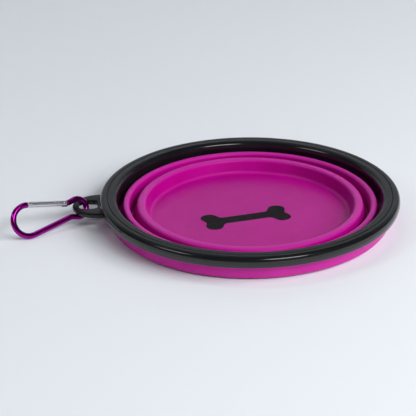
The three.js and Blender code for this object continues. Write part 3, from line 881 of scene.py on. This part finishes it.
steel = bright_steel()
rivet_end = ROD_R + RIVET_PROUD
for rivet_name, rivet_node, rivet_x in (
    ("hinge_rivet", "gate_hinge_rivet", 0),
    ("latch_rivet", "gate_latch_rivet", latch_x),
):
    rivet_shape = straight_rod((rivet_x, 0, -rivet_end), (rivet_x, 0, rivet_end), RIVET_R, RIVET_DOME)
    rivet = new_piece(rivet_name, *gate_placed(*rivet_shape), steel, "bright_steel")
    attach(rivet, "gate")
    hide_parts(rivet_node)

# Plunger: a round-nosed steel pin that slides in the gate's bore.
# The spring holds it against the shoulder's cam, which pushes it in as the gate opens.
PLUNGER_TIP = 0.0019
PLUNGER_LENGTH = 0.0038
PLUNGER_R = 0.0006
PLUNGER_NOSE = 0.0005
plunger_end = PLUNGER_TIP + PLUNGER_LENGTH
plunger_shape = straight_rod((PLUNGER_TIP, 0, 0), (plunger_end, 0, 0), PLUNGER_R, PLUNGER_NOSE)
plunger_pin = new_piece("plunger_pin", *gate_placed(*plunger_shape), steel, "bright_steel")
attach(plunger_pin, "plunger")
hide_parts("gate_plunger")

# Spring: fine steel wire wound in six open curls, loose in the gate's bore behind the plunger.
# It is pressed shorter against the bore's end as the gate opens.
SPRING_START = 0.00605
SPRING_END = 0.01115
SPRING_R = 0.00045
SPRING_WIRE = 0.0003
SPRING_CURLS = 6
CURL_POINTS = 32
CURL_RINGS = 24
WIRE_SIDES = 12
WIRE_END_ROUND = SPRING_WIRE / 6
curl = np.linspace(0, 1, SPRING_CURLS * CURL_POINTS)
curl_turn = 2 * np.pi * SPRING_CURLS * curl
spring_x = SPRING_START + (SPRING_END - SPRING_START) * curl
spring_line = np.stack([spring_x, SPRING_R * np.cos(curl_turn), SPRING_R * np.sin(curl_turn)], -1)
ring_step = 2 * np.pi * SPRING_R / CURL_RINGS
spring_shape = swept_rod(spring_line, SPRING_WIRE / 2, WIRE_END_ROUND, ring_step, WIRE_SIDES, (1, 0, 0))
gate_coil = new_piece("gate_coil", *gate_placed(*spring_shape), steel, "bright_steel")
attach(gate_coil, "gate")
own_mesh(gate_coil)
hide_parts("gate_spring")

# Camera: a long lens on a square frame, at the photograph's height and distance from the bowl.
# The bowl stands beside the frame's middle, so the lens is shifted instead of turned away.
CAMERA_FAR = 0.9
CAMERA_RISE = math.radians(24.88)
CAMERA_TURN = math.radians(-4.5)
SENSOR_WIDTH = 36
LENS_PER_WIDTH = 3.576
FRAME_PIXELS = 416
CENTRE_RIGHT_PIXELS = 42.01
CENTRE_DOWN_PIXELS = 8.77


def away_from(distance, azimuth, elevation):
    """A place at a distance from the bowl's middle: azimuth from the front to the right, then up."""
    level = distance * math.cos(elevation)
    return (level * math.sin(azimuth), -level * math.cos(azimuth), distance * math.sin(elevation))


camera_data = bpy.data.cameras.new("camera")
camera_data.sensor_width = SENSOR_WIDTH
camera_data.lens = LENS_PER_WIDTH * SENSOR_WIDTH
camera_data.shift_x = -CENTRE_RIGHT_PIXELS / FRAME_PIXELS
camera_data.shift_y = CENTRE_DOWN_PIXELS / FRAME_PIXELS
camera = bpy.data.objects.new("camera", camera_data)
camera.location = away_from(CAMERA_FAR, CAMERA_TURN, CAMERA_RISE)
camera.rotation_euler = (math.pi / 2 - CAMERA_RISE, 0, CAMERA_TURN)
bpy.context.scene.collection.objects.link(camera)
bpy.context.scene.camera = camera

# Studio: a pale sweep of paper that runs from the floor up a back wall, lit by flat soft boxes.
# Nothing of it belongs to the bowl.
SWEEP_COLOUR = (0.90, 0.935, 0.985)
SWEEP_WIDTH = 6
SWEEP_FRONT = -3
SWEEP_BACK = 1.6
SWEEP_RADIUS = 0.8
SWEEP_HEIGHT = 2.2
SWEEP_STEPS = 24
LAMP_FAR = 1.6
FILL_FAR = 1.5


def sweep_surface():
    """A flat floor, a quarter turn and an upright wall, drawn out across the width."""
    angle = np.linspace(-np.pi / 2, 0, SWEEP_STEPS)
    bend_y = SWEEP_BACK - SWEEP_RADIUS + SWEEP_RADIUS * np.cos(angle)
    bend_z = SWEEP_RADIUS + SWEEP_RADIUS * np.sin(angle)
    y = np.concatenate([[SWEEP_FRONT], bend_y, [SWEEP_BACK]])
    z = np.concatenate([[0], bend_z, [SWEEP_HEIGHT]])
    x = np.array([-SWEEP_WIDTH / 2, SWEEP_WIDTH / 2])
    points = np.stack(np.broadcast_arrays(x, y[:, None], z[:, None]), -1)
    first = 2 * np.arange(len(y) - 1)[:, None]
    return points, (first + np.array([[0, 1, 3, 2]])).tolist()


paper = Finish("studio_paper", base_color=(*SWEEP_COLOUR, 1), roughness=0.9, specular_ior_level=0.1)
sweep = new_piece("studio_sweep", *sweep_surface(), paper.material)


def soft_box(name, place, size, power, aim=(0, 0, 0), mirrored=True):
    """A flat lamp at a place, turned to face a point. One that isn't mirrored leaves no highlight."""
    light = bpy.data.lights.new(name, "AREA")
    light.shape = "RECTANGLE"
    light.size, light.size_y = size
    light.energy = power
    lamp = bpy.data.objects.new(name, light)
    away = np.array(place, float) - np.array(aim, float)
    lamp.location = place
    tilt = math.atan2(math.hypot(away[0], away[1]), away[2])
    lamp.rotation_euler = (tilt, 0, math.atan2(away[0], -away[1]))
    lamp.visible_glossy = mirrored
    bpy.context.scene.collection.objects.link(lamp)


key_place = away_from(LAMP_FAR, math.radians(25), math.radians(41))
side_place = away_from(LAMP_FAR, math.radians(60), math.radians(35))
low_place = away_from(LAMP_FAR, math.radians(15), math.radians(3.5))
fill_place = away_from(FILL_FAR, math.radians(-68.5), math.radians(38))
soft_box("key_box", key_place, size=(0.7, 0.4), power=6.6)
soft_box("side_box", side_place, size=(1.2, 1.0), power=21.3, mirrored=False)
soft_box("low_box", low_place, size=(1.4, 0.12), power=4, mirrored=False)
soft_box("fill_box", fill_place, size=(0.55, 0.3), power=2.1)
soft_box("wall_box", (-0.7, 0.5, 2.0), size=(1.8, 0.4), power=6.6, aim=(-0.7, 1.6, 0.6))

# Room: a dim, cool world round the sweep, paler near the horizon and dark overhead.
# It shows in the black plastic's sheen and lights the bowl faintly from all round.
ROOM_COLOUR = (0.92, 0.96, 1, 1)
HORIZON_LIGHT = 0.09
OVERHEAD_LIGHT = 0.04
FADE_START = math.radians(20)
FADE_END = math.radians(50)
world = bpy.data.worlds.new("dim_room")
world.use_nodes = True
room = world.node_tree
background = room.nodes["Background"]
background.inputs["Color"].default_value = ROOM_COLOUR
sky_place = room.nodes.new("ShaderNodeTexCoord")
sky_parts = room.nodes.new("ShaderNodeSeparateXYZ")
sky_fade = room.nodes.new("ShaderNodeMapRange")
sky_fade.interpolation_type = "SMOOTHSTEP"
sky_fade.inputs["From Min"].default_value = math.sin(FADE_START)
sky_fade.inputs["From Max"].default_value = math.sin(FADE_END)
sky_fade.inputs["To Min"].default_value = HORIZON_LIGHT
sky_fade.inputs["To Max"].default_value = OVERHEAD_LIGHT
room.links.new(sky_place.outputs["Generated"], sky_parts.inputs["Vector"])
room.links.new(sky_parts.outputs["Z"], sky_fade.inputs["Value"])
room.links.new(sky_fade.outputs["Result"], background.inputs["Strength"])
bpy.context.scene.world = world
bpy.context.scene.view_settings.view_transform = "Standard"
